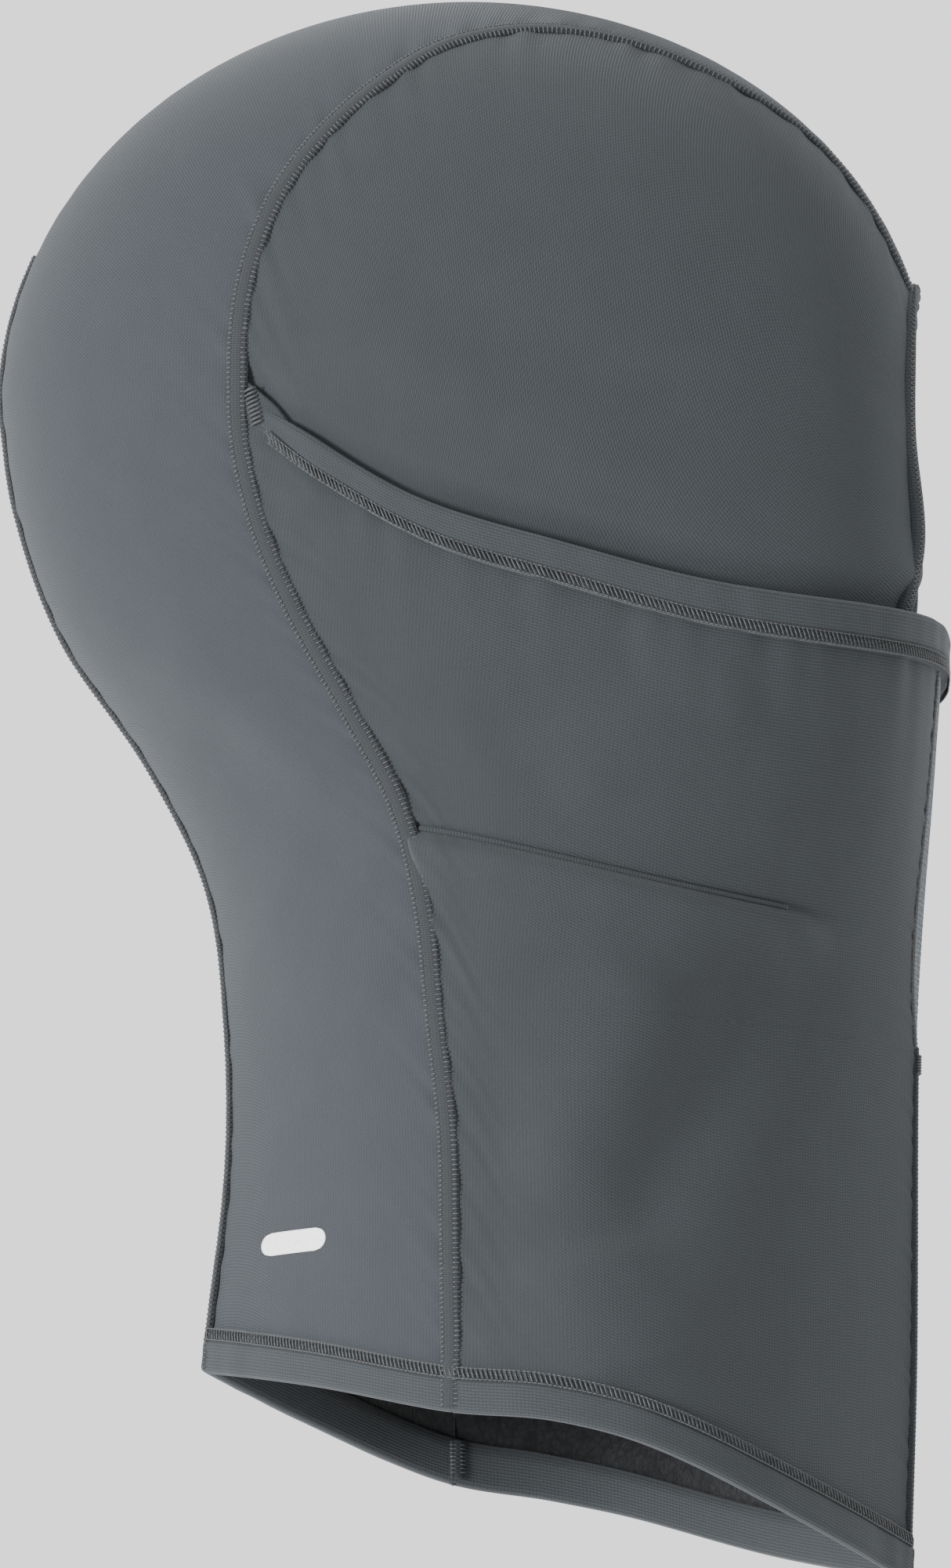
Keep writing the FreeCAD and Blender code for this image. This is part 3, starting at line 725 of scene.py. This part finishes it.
# ---- front panels: mask and neck front in one cut -----------------------------
def front_panel():
    rows, cols = 300 // FINE, 152 // FINE
    u = np.linspace(0, 1, cols)

    def t_at(z):
        return t_mesh(z) * (1 - u) + t_seam(z) * u
    top = z_on(MASK_TOP, t_at, 0 * u)
    rear = smooth((u - 0.9) / 0.06)
    top = top - 6.5 * (1 - rear)
    bottom = z_on(NECK_EDGE, t_at, 6.0 + 0 * u)
    v = np.linspace(0, 1, rows)[:, None]
    z = top[None] * (1 - v) + bottom[None] * v
    t = t_mesh(z) * (1 - u[None]) + t_seam(z) * u[None]
    grid = section_point(t, z)
    uv = grid_uv(grid)
    away = uv[..., 0]
    seam_gap = away[:, -1:] - away
    relief = puckers(uv[..., 1], seam_gap, 12.0, 0.24, 8.0, 5)
    relief += puckers(uv[..., 1], away, 5.5, 0.12, 3.5, 6)
    relief += puckers(uv[..., 0], top[None] - z, 15.0, 0.22, 11.0, 7)
    y = grid[..., 1]
    below = profile(DART, y) - z
    fade = smooth((y + 81) / 12) * smooth((seam_gap + 2) / 4)
    fold = np.exp(-(below / 11)**2) * (1 - np.exp(-(below / 2.2)**2))
    relief += fade * 2.3 * np.where(below > 0, fold, 0)
    relief -= fade * 1.5 * np.exp(-(below / 1.3)**2)
    relief -= fade * 0.9 * np.where(below < 0, np.exp(-((below + 7) / 7)**2), 0)
    relief += segment_ridge(grid, (-40, -134), (-18, -184), 13, 2.4)
    relief -= segment_ridge(grid, (-70, -126), (-34, -196), 11, 2.6)
    relief += segment_ridge(grid, (-26, -196), (-34, -226), 16, 1.4)
    relief -= segment_ridge(grid, (-8, -150), (-4, -214), 9, 0.9)
    relief += segment_ridge(grid, (-60, -72), (-20, -98), 12, 0.9)
    relief -= segment_ridge(grid, (-40, -66), (0, -84), 9, 0.8)
    outer, inner = cloth(grid, relief)
    verts, faces, slots = cloth_shell(outer, inner)
    uvs = np.concatenate([uv.reshape(-1, 2)] * 2)
    pair = both_sides("front", verts, faces, slots, uvs, [KNIT_FRONT, FLEECE_PAINTED_SHADE],
                      ["mask_panel", "neck_panel"], True)


# ---- breathing panel: knitted mesh with real holes ----------------------------
MESH_TOP, MESH_TIP = -57.0, -145.0


def mesh_panel():
    rows, hole_pitch = 56, 1.55
    heap_v, heap_f = [], []

    def height_at(v):
        return MESH_TOP + (MESH_TIP - MESH_TOP) * v

    def surface(u, v, d):
        z = height_at(v)
        s = np.asarray(u) * 2 - 1
        t = np.abs(s) * np.maximum(t_mesh(z), 0.004)
        p = section_point(t, z, d=d)
        p[..., 0] = np.abs(p[..., 0]) * np.sign(s)
        return p
    ring_t = np.linspace(0, 2 * np.pi, 8, endpoint=False)
    square = np.array([(1, 0), (1, 1), (0, 1), (-1, 1), (-1, 0), (-1, -1), (0, -1), (1, -1)], float)
    count = 0
    for r in range(rows):
        v = (r + 0.5) / rows
        wide = float(section_point(t_mesh(height_at(v)), height_at(v))[0]) * -2
        n = max(2, int(round(wide / hole_pitch)))
        shift = 0.25 if r % 2 else -0.25
        for c in range(n):
            u = (c + 0.5) / n
            hu, hv = 0.5 / n, 0.5 / rows
            hole = min(0.56, 0.2 + 0.36 * min(u, 1 - u) * n / 1.6)
            off = shift * hu * (1 if 0 < c < n - 1 else 0)
            ou = u + square[:, 0] * hu
            ov = v + square[:, 1] * hv
            iu = u + off + np.cos(ring_t) * hu * hole
            iv = v + np.sin(ring_t) * hv * hole
            sets = []
            for d_edge, d_hole in ((0.0, -0.18), (-1.0, -0.8)):
                sets.append(surface(ou, ov, d_edge))
                mid_u, mid_v = (ou + iu) / 2, (ov + iv) / 2
                sets.append(surface(mid_u, mid_v, d_edge + (0.16 if d_edge == 0 else 0)))
                sets.append(surface(iu, iv, d_hole))
            heap_v.append(np.concatenate(sets))
            j = np.arange(8)
            k = (j + 1) % 8
            for a, b in ((0, 8), (8, 16)):
                heap_f.append(np.stack([j + a, k + a, k + b, j + b], -1) + count)
            for a, b in ((24, 32), (32, 40)):
                heap_f.append(np.stack([k + a, j + a, j + b, k + b], -1) + count)
            heap_f.append(np.stack([j + 16, k + 16, k + 40, j + 40], -1) + count)
            count += 48
    verts = np.concatenate(heap_v)
    faces = np.concatenate(heap_f)
    uv = np.stack([verts[:, 0], verts[:, 2]], -1)
    ob = make("mesh_panel_front", verts, faces, [MESH_KNIT], None, uv)
    place(ob, ["mesh_panel"], True)


# ---- coverstitched bands --------------------------------------------------------
def band_shape(width, height):
    """Rounded flat band with a shallow groove inside each edge."""
    half = np.array([(.25, 1.12), (.55, 1), (.68, .62), (.8, .82), (.93, .55)]) * (width / 2, height)
    right = np.concatenate([half, [(width / 2, 0.05), (width / 2, -0.9)]])
    return np.concatenate([(right * [-1, 1])[::-1], [(0, height * 1.15)], right])


def main_seam():
    path = onto(resample(seam_few[:-1], 520 // FINE))
    tail = z_on(NECK_EDGE, t_seam, np.array([0.2]))[0]
    path = path[path[:, 2] > tail]
    side, out = frames_on(path)
    wobble = 1 + 0.03 * np.sin(np.arange(len(path)) * 1.9)[:, None, None]
    lift = np.interp(path[:, 2], [tail, tail + 10.4, tail + 11.6], [0.6, 0.6, 0.0])
    lift = np.where(path[:, 2] < tail + 12, lift, 0.0)
    shape = band_shape(4.3, 0.75)[None] * wobble
    shape = shape + np.stack([0 * lift, lift], -1)[:, None]
    heap = Heap()
    heap.add(*sweep(path, side, out, shape))
    both_heaps(heap, "main_seam_band", [KNIT_BAND], ["main_seam_stitching"])
    run = run_along(path)
    at = np.arange(0.6, run[-1] - 0.5, 1.07)
    heap = Heap()
    ends = []

    def at_run(values, s):
        return np.stack([np.interp(s, run, values[:, k]) for k in range(3)], -1)
    p, sd, o = at_run(path, at), at_run(side, at), at_run(out, at)
    extra = np.interp(at, run, lift)
    for sign in (-1, 1):
        jitter = rng.normal(0, 0.05, (len(at), 1))
        a = p + sd * (sign * (1.15 + jitter)) + o * (0.80 + extra)[:, None]
        b = p + sd * (sign * (2.45 + jitter)) + o * (0.12 + extra)[:, None]
        ends += [(a[i], b[i], o[i]) for i in range(len(at))]
    stitches(heap, ends, 0.19, 0.24)
    both_heaps(heap, "main_seam_thread", [THREAD], [])


def hem_inside():
    """The main seam's band carried on over the inside of the neck hem."""
    z1 = float(z_on(NECK_EDGE, t_seam, np.array([0.2]))[0])
    z = np.linspace(z1 + 9.5, z1 + 1.2, 20)
    path = section_point(t_seam(z), z)
    side, out = frames_on(path)
    heap = Heap()
    heap.add(*sweep(path - out * 2.35, side, -out, band_shape(3.4, 0.8)))
    both_heaps(heap, "main_seam_inside", [KNIT_BAND], [], True)
    ends = []
    for k in range(8):
        zz = z[2 + 2 * k]
        p = section_point(t_seam(zz), zz)
        for s in (-1, 1):
            ends.append((p - out[9] * 3.3 + side[9] * s * 0.5,
                         p - out[9] * 2.7 + side[9] * s * 1.9, -out[9]))
    heap = Heap()
    stitches(heap, ends, 0.17, 0.2)
    both_heaps(heap, "main_seam_inside_thread", [THREAD], [], True)


def both_heaps(heap, name, materials, nodes, moving=False):
    place(heap.build(name + "_right", materials), [n + "_right" for n in nodes], moving)
    place(heap.build(name + "_left", materials, True), [n + "_left" for n in nodes], moving)


def centre_line(z, end):
    """Path on the centre plane with its directions; end is 0 in front, 1 behind."""
    path = np.stack([0 * z, body_span(z)[end], z], -1)
    along = tangents(path)
    side = np.tile([1.0, 0, 0], (len(z), 1))
    out = np.cross(side, along)
    return path, along, side, out * np.sign(out[:, 1:2]) * (2 * end - 1)


def centre_back():
    """Flatlocked seam down the back, standing a little proud."""
    z = np.linspace(34, float(profile(NECK_EDGE, 57.0)) + 1.0, 420 // FINE)
    path, along, side, out = centre_line(z, 1)
    bulge = 0.14 * np.sin(z * 0.55) * np.sin(z * 0.23 + 1) + 0.3
    shape = band_shape(3.4, 0.75)[None] + np.stack([0 * bulge, bulge * 0.4], -1)[:, None]
    heap = Heap()
    heap.add(*sweep(path, side, out, shape))
    ob = heap.build("centre_back_band", [KNIT_BAND])
    place(ob, ["centre_back_stitching"])
    run = run_along(path)
    heap = Heap()
    ends = []
    for s in np.arange(0.5, run[-1] - 0.5, 1.07):
        p = point_at(run, path, s)
        o = point_at(run, out, s)
        al = point_at(run, along, s)
        for sign in (-1, 1):
            ends.append((p + [sign * 0.15, 0, 0] + o * 0.95,
                         p + [sign * 2.1, 0, 0] + o * 0.1 + al * 0.3, o))
    stitches(heap, ends, 0.2, 0.35)
    place(heap.build("centre_back_thread", [THREAD_DARK]), [])


def centre_front():
    """Fine seam from the tip of the breathing panel to the neck hem."""
    z = np.linspace(-143.0, -257.5, 240 // FINE)
    path, _, side, out = centre_line(z, 0)
    heap = Heap()
    heap.add(*sweep(path, side, out, band_shape(2.6, 0.6)))
    place(heap.build("centre_front_band", [KNIT_FRONT]), ["centre_front_stitching"], True)
    heap = Heap()
    ends = []
    run = run_along(path)
    for s in np.arange(4.0, run[-1] - 0.5, 1.0):
        p = point_at(run, path, s)
        o = point_at(run, out, s)
        for sign in (-1, 1):
            ends.append((p + [sign * 0.3, 0, 0] + o * 0.65, p + [sign * 1.5, 0, 0.25] + o * 0.1, o))
    stitches(heap, ends, 0.15, 0.2)
    place(heap.build("centre_front_thread", [THREAD]), [], True)
    heap = Heap()
    ends = []
    for k in range(7):
        zz = -144.8 - k * 0.62
        y = float(body_span(np.array(zz))[0])
        a, b = np.array([-1.5, y - 0.3, zz]), np.array([1.5, y - 0.3, zz - 0.3])
        ends.append((a, b, np.array([0, -1.0, 0])))
    stitches(heap, ends, 0.32, 0.75)
    place(heap.build("mesh_tip_tack", [THREAD_DARK]), ["mesh_tip_bartack"], True)


def mesh_seam():
    """Looped stitches joining the breathing panel to the mask."""
    z = np.linspace(-60, -143.5, 200 // FINE)
    path = section_point(np.maximum(t_mesh(z), 0.01), z)
    side, out = frames_on(path)
    heap = Heap()
    heap.add(*sweep(path, side, out, band_shape(1.3, 0.4)))
    run = run_along(path)
    ends = []
    for s in np.arange(0.4, run[-1] - 0.3, 0.95):
        p = point_at(run, path, s)
        o = point_at(run, out, s)
        sd = point_at(run, side, s)
        ends.append((p - sd * 0.95 + o * 0.12, p + sd * 0.95 + o * 0.12, o))
    stitches(heap, ends, 0.16, 0.42)
    both_heaps(heap, "mesh_seam_thread", [THREAD], ["mesh_seam_stitching"], True)


def dart_seam():
    y = np.linspace(11.0, -70.0, 160 // FINE)
    z = profile(DART, y)
    path = np.stack([-body_x(y, z), y, z], -1)
    side, out = frames_on(path)
    heap = Heap()
    path = path - out * 0.95
    heap.add(*sweep(path, side, out, band_shape(0.9, 0.30)))
    both_heaps(heap, "dart_line", [KNIT_FRONT], ["dart_stitching"], True)


# ---- hems -----------------------------------------------------------------------
NECK_HEM, MASK_HEM = 10.2, 10.0
COVER_PITCH = 1.1


def hem_band(line, t_of_z, u, profile_pts, seed):
    """Hem following a side-view line: profile_pts are (height, out) pairs."""
    z0 = z_on(line, t_of_z, 0 * u)
    base = np.stack([section_point(t_of_z(z0 + h), z0 + h) for h, _ in profile_pts], 1)
    outs = np.array([o for _, o in profile_pts])
    wave = puckers(np.arange(len(u)) * 1.0, np.zeros(len(u)), 36.0, 0.06, 1.0, seed)
    n = body_normal(base)
    n[np.abs(base[..., 0]) < 0.4, 0] = 0
    n = units(n)
    ring = base + n * (outs[None, :, None] + wave[:, None, None] * (outs > 0)[None, :, None])
    m = len(profile_pts)
    rows = len(u)
    faces = tube_faces(rows, m)
    mid = ring[rows // 2]
    nrm = np.cross(mid[1] - mid[0], ring[rows // 2 + 1][0] - mid[0])
    if (nrm * (mid[0] - mid.mean(0))).sum() < 0:
        faces = faces[:, ::-1]
    run = run_along(base[:, 0])
    heights = np.array([h for h, _ in profile_pts]) + outs * 0.5
    uv = np.stack(np.broadcast_arrays(run[:, None], heights[None]), -1).reshape(-1, 2)
    return ring, faces, uv


def fold_profile(height, out, inn, stitched=2.9, n=6):
    """Loop of (height, out): a folded edge at 0, flattened where it is stitched."""
    half = (out + inn) / 2
    mid = (out - inn) / 2
    pts = []
    for a in np.linspace(-np.pi / 2, np.pi / 2, 9):
        pts.append((half * 0.9 * (1 - np.cos(a)), mid + half * np.sin(a)))
    outer = [(h, out + 0.06 * np.sin(h * 1.3)) for h in np.linspace(half, height - stitched - 0.8, n)]
    outer += [(height - stitched - 0.2, out * 0.9), (height - stitched + 0.1, out * 0.55),
              (height - stitched + 0.5, out * 0.85), (height - 0.9, out * 0.85),
              (height - 0.3, out * 0.5), (height, 0.02)]
    inner = [(height, -inn), (height - stitched, -inn), (height * 0.5, -inn)]
    return pts + outer + inner


def neck_hem():
    n = 420 // FINE
    u = np.linspace(0, np.pi, n)
    pts = fold_profile(NECK_HEM, 1.15, 2.4)
    ring, faces, uv = hem_band(NECK_EDGE, lambda z: u, u, pts, 11)
    ring[0, :, 0] = ring[-1, :, 0] = 0
    heap = Heap()
    heap.add_both(ring.reshape(-1, 3), faces, uv)
    ob = heap.build("neck_hem_fold", [KNIT_HEM])
    place(ob, ["neck_hem"], True)
    z0 = z_on(NECK_EDGE, lambda z: u, 0 * u)
    cover_thread("neck_hem_thread", z0, NECK_HEM - 2.75, NECK_HEM - 0.35, 1.3, lambda z: u,
                 "neck_hem_stitching")


def cover_thread(name, z0, low, high, out, t_of_z, node):
    """Slanted zigzag threads of a coverstitch between two heights of a hem."""
    lo = section_point(t_of_z(z0 + low), z0 + low)
    hi = section_point(t_of_z(z0 + high), z0 + high)
    no = body_normal((lo + hi) / 2)
    no[np.abs(lo[:, 0]) < 0.4, 0] = 0
    lo, hi = lo + no * (out + 0.05), hi + no * (out - 0.15)
    run = run_along(lo)
    ends = []
    for s in np.arange(0.8, run[-1] - 1.2, COVER_PITCH):
        o = units(point_at(run, no, s))
        a = point_at(run, lo, s)
        ends.append((a, point_at(run, hi, s + 0.75), o))
        ends.append((a, point_at(run, lo, s + COVER_PITCH), o))
        ends.append((point_at(run, hi, s + 0.1), point_at(run, hi, s + COVER_PITCH + 0.1), o))
    place(thread_round(ends, 0.17, name), [node], True)


def thread_round(ends, radius, name):
    """Stitches on the right side and their mirror images, as one piece."""
    heap, both = Heap(), Heap()
    stitches(heap, ends, radius, 0.16)
    both.add_both(np.concatenate(heap.verts), heap.faces)
    return both.build(name, [THREAD])


def mask_hem():
    """Rolled edge of the mask, from one corner round the face to the other."""
    n = 460 // FINE
    f = np.linspace(0, 1, n)

    def t_at(z):
        return f * (t_seam(z) - 0.035)
    thin = smooth((1 - f) / 0.07) * 0.75 + 0.25
    pts = [(-h, o) for h, o in fold_profile(MASK_HEM, 1.75, 1.6)]
    ring, faces, uv = hem_band(MASK_TOP, t_at, f, pts, 12)
    z0 = z_on(MASK_TOP, t_at, 0 * f)
    ring = thinned(ring, thin, f)
    ring[0, :, 0] = 0
    flat_end = list(range((n - 1) * len(pts), n * len(pts)))
    heap = Heap()
    heap.add_both(ring.reshape(-1, 3), faces.tolist() + [flat_end], uv)
    ob = heap.build("mask_edge_fold", [KNIT_HEM])
    place(ob, ["mask_edge_hem", "mask_edge_elastic"], True)
    keep = f <= 0.985
    g = f[keep]
    cover_thread("mask_edge_thread", z0[keep], 0.3 - MASK_HEM, 2.85 - MASK_HEM, 1.86,
                 lambda z: g * (t_seam(z) - 0.035), "mask_hem_stitching")


def thinned(ring, thin, f):
    """Thins a hem towards its end, where it runs into the seam."""
    inner = ring[:, -2:-1]
    return inner + (ring - inner) * np.where(f > 0.9, thin, 1.0)[:, None, None] ** 0.5


def under_mask(p):
    """True where the hood's edge is well under the mask and its thread ends."""
    return p[2] < profile(MASK_TOP, p[1]) - 14


def face_hem():
    """Narrow folded hem round the face opening and on under the jaw."""
    c = resample(opening_path(), 420 // FINE)
    side, out = frames_on(c, hood_x)
    out[0], side[0] = np.array([0, -0.97, 0.2]), side[1]
    along = tangents(c)
    out = units(out - along * (out * along).sum(1, keepdims=True))
    side = np.cross(along, out)
    middle = np.array([-10.0, -95.0, -35.0])
    side *= np.sign((side * (c - middle)).sum(1, keepdims=True))
    side[0, 0] = 0
    loop = np.array([(h, o) for h, o in fold_profile(4.7, 0.95, 2.3, 2.0, n=3)])
    verts, faces, uv = sweep(c, side, out, loop)
    heap = Heap()
    verts[:len(loop), 0] = 0
    heap.add_both(verts, faces, uv)
    place(heap.build("face_hem_fold", [KNIT_HEM]), ["face_opening_hem"])
    run = run_along(c)
    ends = []
    for s in np.arange(0.5, run[-1] - 1.2, COVER_PITCH):
        p, o, sd = (point_at(run, values, s) for values in (c, out, side))
        if under_mask(p):
            break
        offset = sd * 2.4 + o * 1.0
        b = point_at(run, c, s + 0.6) + point_at(run, side, s + 0.6) * 4.3 + o * 0.75
        ends.append((p + offset, b, o))
        ends.append((b, point_at(run, c, s + COVER_PITCH) + offset, o))
    place(thread_round(ends, 0.15, "face_hem_thread"), ["face_hem_stitching"])


# ---- small parts ------------------------------------------------------------------
def corner_tacks():
    ends = []
    for k in range(9):
        y = 47.6 - 0.2 * k
        z = float(profile(MASK_TOP, y)) - 1.2 - 0.75 * k
        a = np.array([-body_x(y - 1.6, z), y - 1.6, z + 0.5])
        b = np.array([-body_x(y + 1.0, z), y + 1.0, z - 0.5])
        o = body_normal((a + b) / 2)
        ends.append((a + o * 0.6, b + o * 0.5, o))
    heap = Heap()
    stitches(heap, ends, 0.3, 0.35)
    both_heaps(heap, "mask_corner_tack", [THREAD_DARK], ["mask_corner_bartack"])


def patch_on(name, centre, size, turn, d0, d1, material, node, corner=2.2):
    """Thin rounded patch lying on the flank of the back panel."""
    rows, cols = 14, 36
    u, v = np.meshgrid(np.linspace(-1, 1, cols), np.linspace(-1, 1, rows))
    w, h = size[0] / 2, size[1] / 2
    x = u * w
    end = np.sqrt(np.maximum(1 - v * v, 0))
    x = np.sign(u) * np.minimum(np.abs(u) * w, (w - corner) * np.abs(u) + corner * end * np.abs(u))
    c, s = np.cos(np.radians(turn)), np.sin(np.radians(turn))
    y = centre[0] + x * c - v * h * s
    z = centre[1] + x * s + v * h * c
    p = np.stack([-body_x(y, z), y, z], -1)
    n = body_normal(p)
    verts, faces, _ = cloth_shell(p + n * d1, p + n * d0)
    uv = np.concatenate([np.stack([x, v * h], -1).reshape(-1, 2)] * 2)
    ob = make(name, verts, faces, [material], None, uv)
    place(ob, [node])


crown_back()
cheek()
front_panel()
mesh_panel()
main_seam()
hem_inside()
centre_back()
centre_front()
mesh_seam()
dart_seam()
neck_hem()
mask_hem()
face_hem()
corner_tacks()
patch_on("print_bar", (38, -190), (14, 5), 4, -0.1, 0.28, PRINT, "print_mark")
patch_on("label_blank", (40, -150), (12, 18), 0, -2.1, -1.55, LABEL, "care_label", corner=0.4)


# ---- floor, light and camera ---------------------------------------------------------
FLOOR_HALF, FLOOR_Z = 14.0, -1.6          # metres
LENS, SENSOR = 300, 24
LOOK_UP = np.radians(10.0)                # the camera sits low and looks up this far
VIEW_HEIGHT = 345.0                       # millimetres over the height of the picture
VIEW_CENTRE = np.array([0, -1.552, -84.12])


def studio():
    floor = bpy.data.meshes.new("floor")
    corners = ((-1, -1), (1, -1), (1, 1), (-1, 1))
    floor.from_pydata([(FLOOR_HALF * x, FLOOR_HALF * y, FLOOR_Z) for x, y in corners], [], [(0, 1, 2, 3)])
    ob = bpy.data.objects.new("floor", floor)
    bpy.context.scene.collection.objects.link(ob)
    pale = Nodes("floor_pale")
    pale.bsdf.inputs["Base Color"].default_value = (0.9, 0.9, 0.9, 1)
    pale.bsdf.inputs["Roughness"].default_value = 0.9
    floor.materials.append(pale.mat)
    world = bpy.data.worlds.new("studio")
    world.use_nodes = True
    world.node_tree.nodes["Background"].inputs["Color"].default_value = (1, 1, 1, 1)
    world.node_tree.nodes["Background"].inputs["Strength"].default_value = 1.6
    bpy.context.scene.world = world

    def lamp(name, at, aim, size, watts):
        light = bpy.data.lights.new(name, "AREA")
        light.shape = "RECTANGLE"
        light.size = light.size_y = size
        light.energy = watts
        ob = bpy.data.objects.new(name, light)
        ob.location = at
        ob.rotation_euler = (mathutils.Vector(aim) - mathutils.Vector(at)).to_track_quat("-Z", "Y").to_euler()
        bpy.context.scene.collection.objects.link(ob)
    lamp("key", (-1.55, 1.8, -0.15), (0, 0, -0.08), 0.5, 135)
    lamp("fill", (-1.7, -1.7, -0.5), (0, 0, -0.2), 0.7, 14)

    cam = bpy.data.cameras.new("camera")
    cam.lens = LENS
    cam.sensor_fit = "VERTICAL"
    cam.sensor_height = SENSOR
    ob = bpy.data.objects.new("camera", cam)
    look = np.array([np.cos(LOOK_UP), 0, np.sin(LOOK_UP)])
    ob.location = ((VIEW_CENTRE - look * VIEW_HEIGHT * LENS / SENSOR) * MM).tolist()
    up = mathutils.Vector((-look[2], 0, look[0]))
    z = mathutils.Vector((-look).tolist())
    x = up.cross(z).normalized()
    y = z.cross(x)
    rot = mathutils.Matrix((x, y, z)).transposed()
    ob.rotation_euler = rot.to_euler()
    cam.clip_end = 60
    bpy.context.scene.collection.objects.link(ob)
    bpy.context.scene.camera = ob


studio()
bpy.context.view_layer.update()
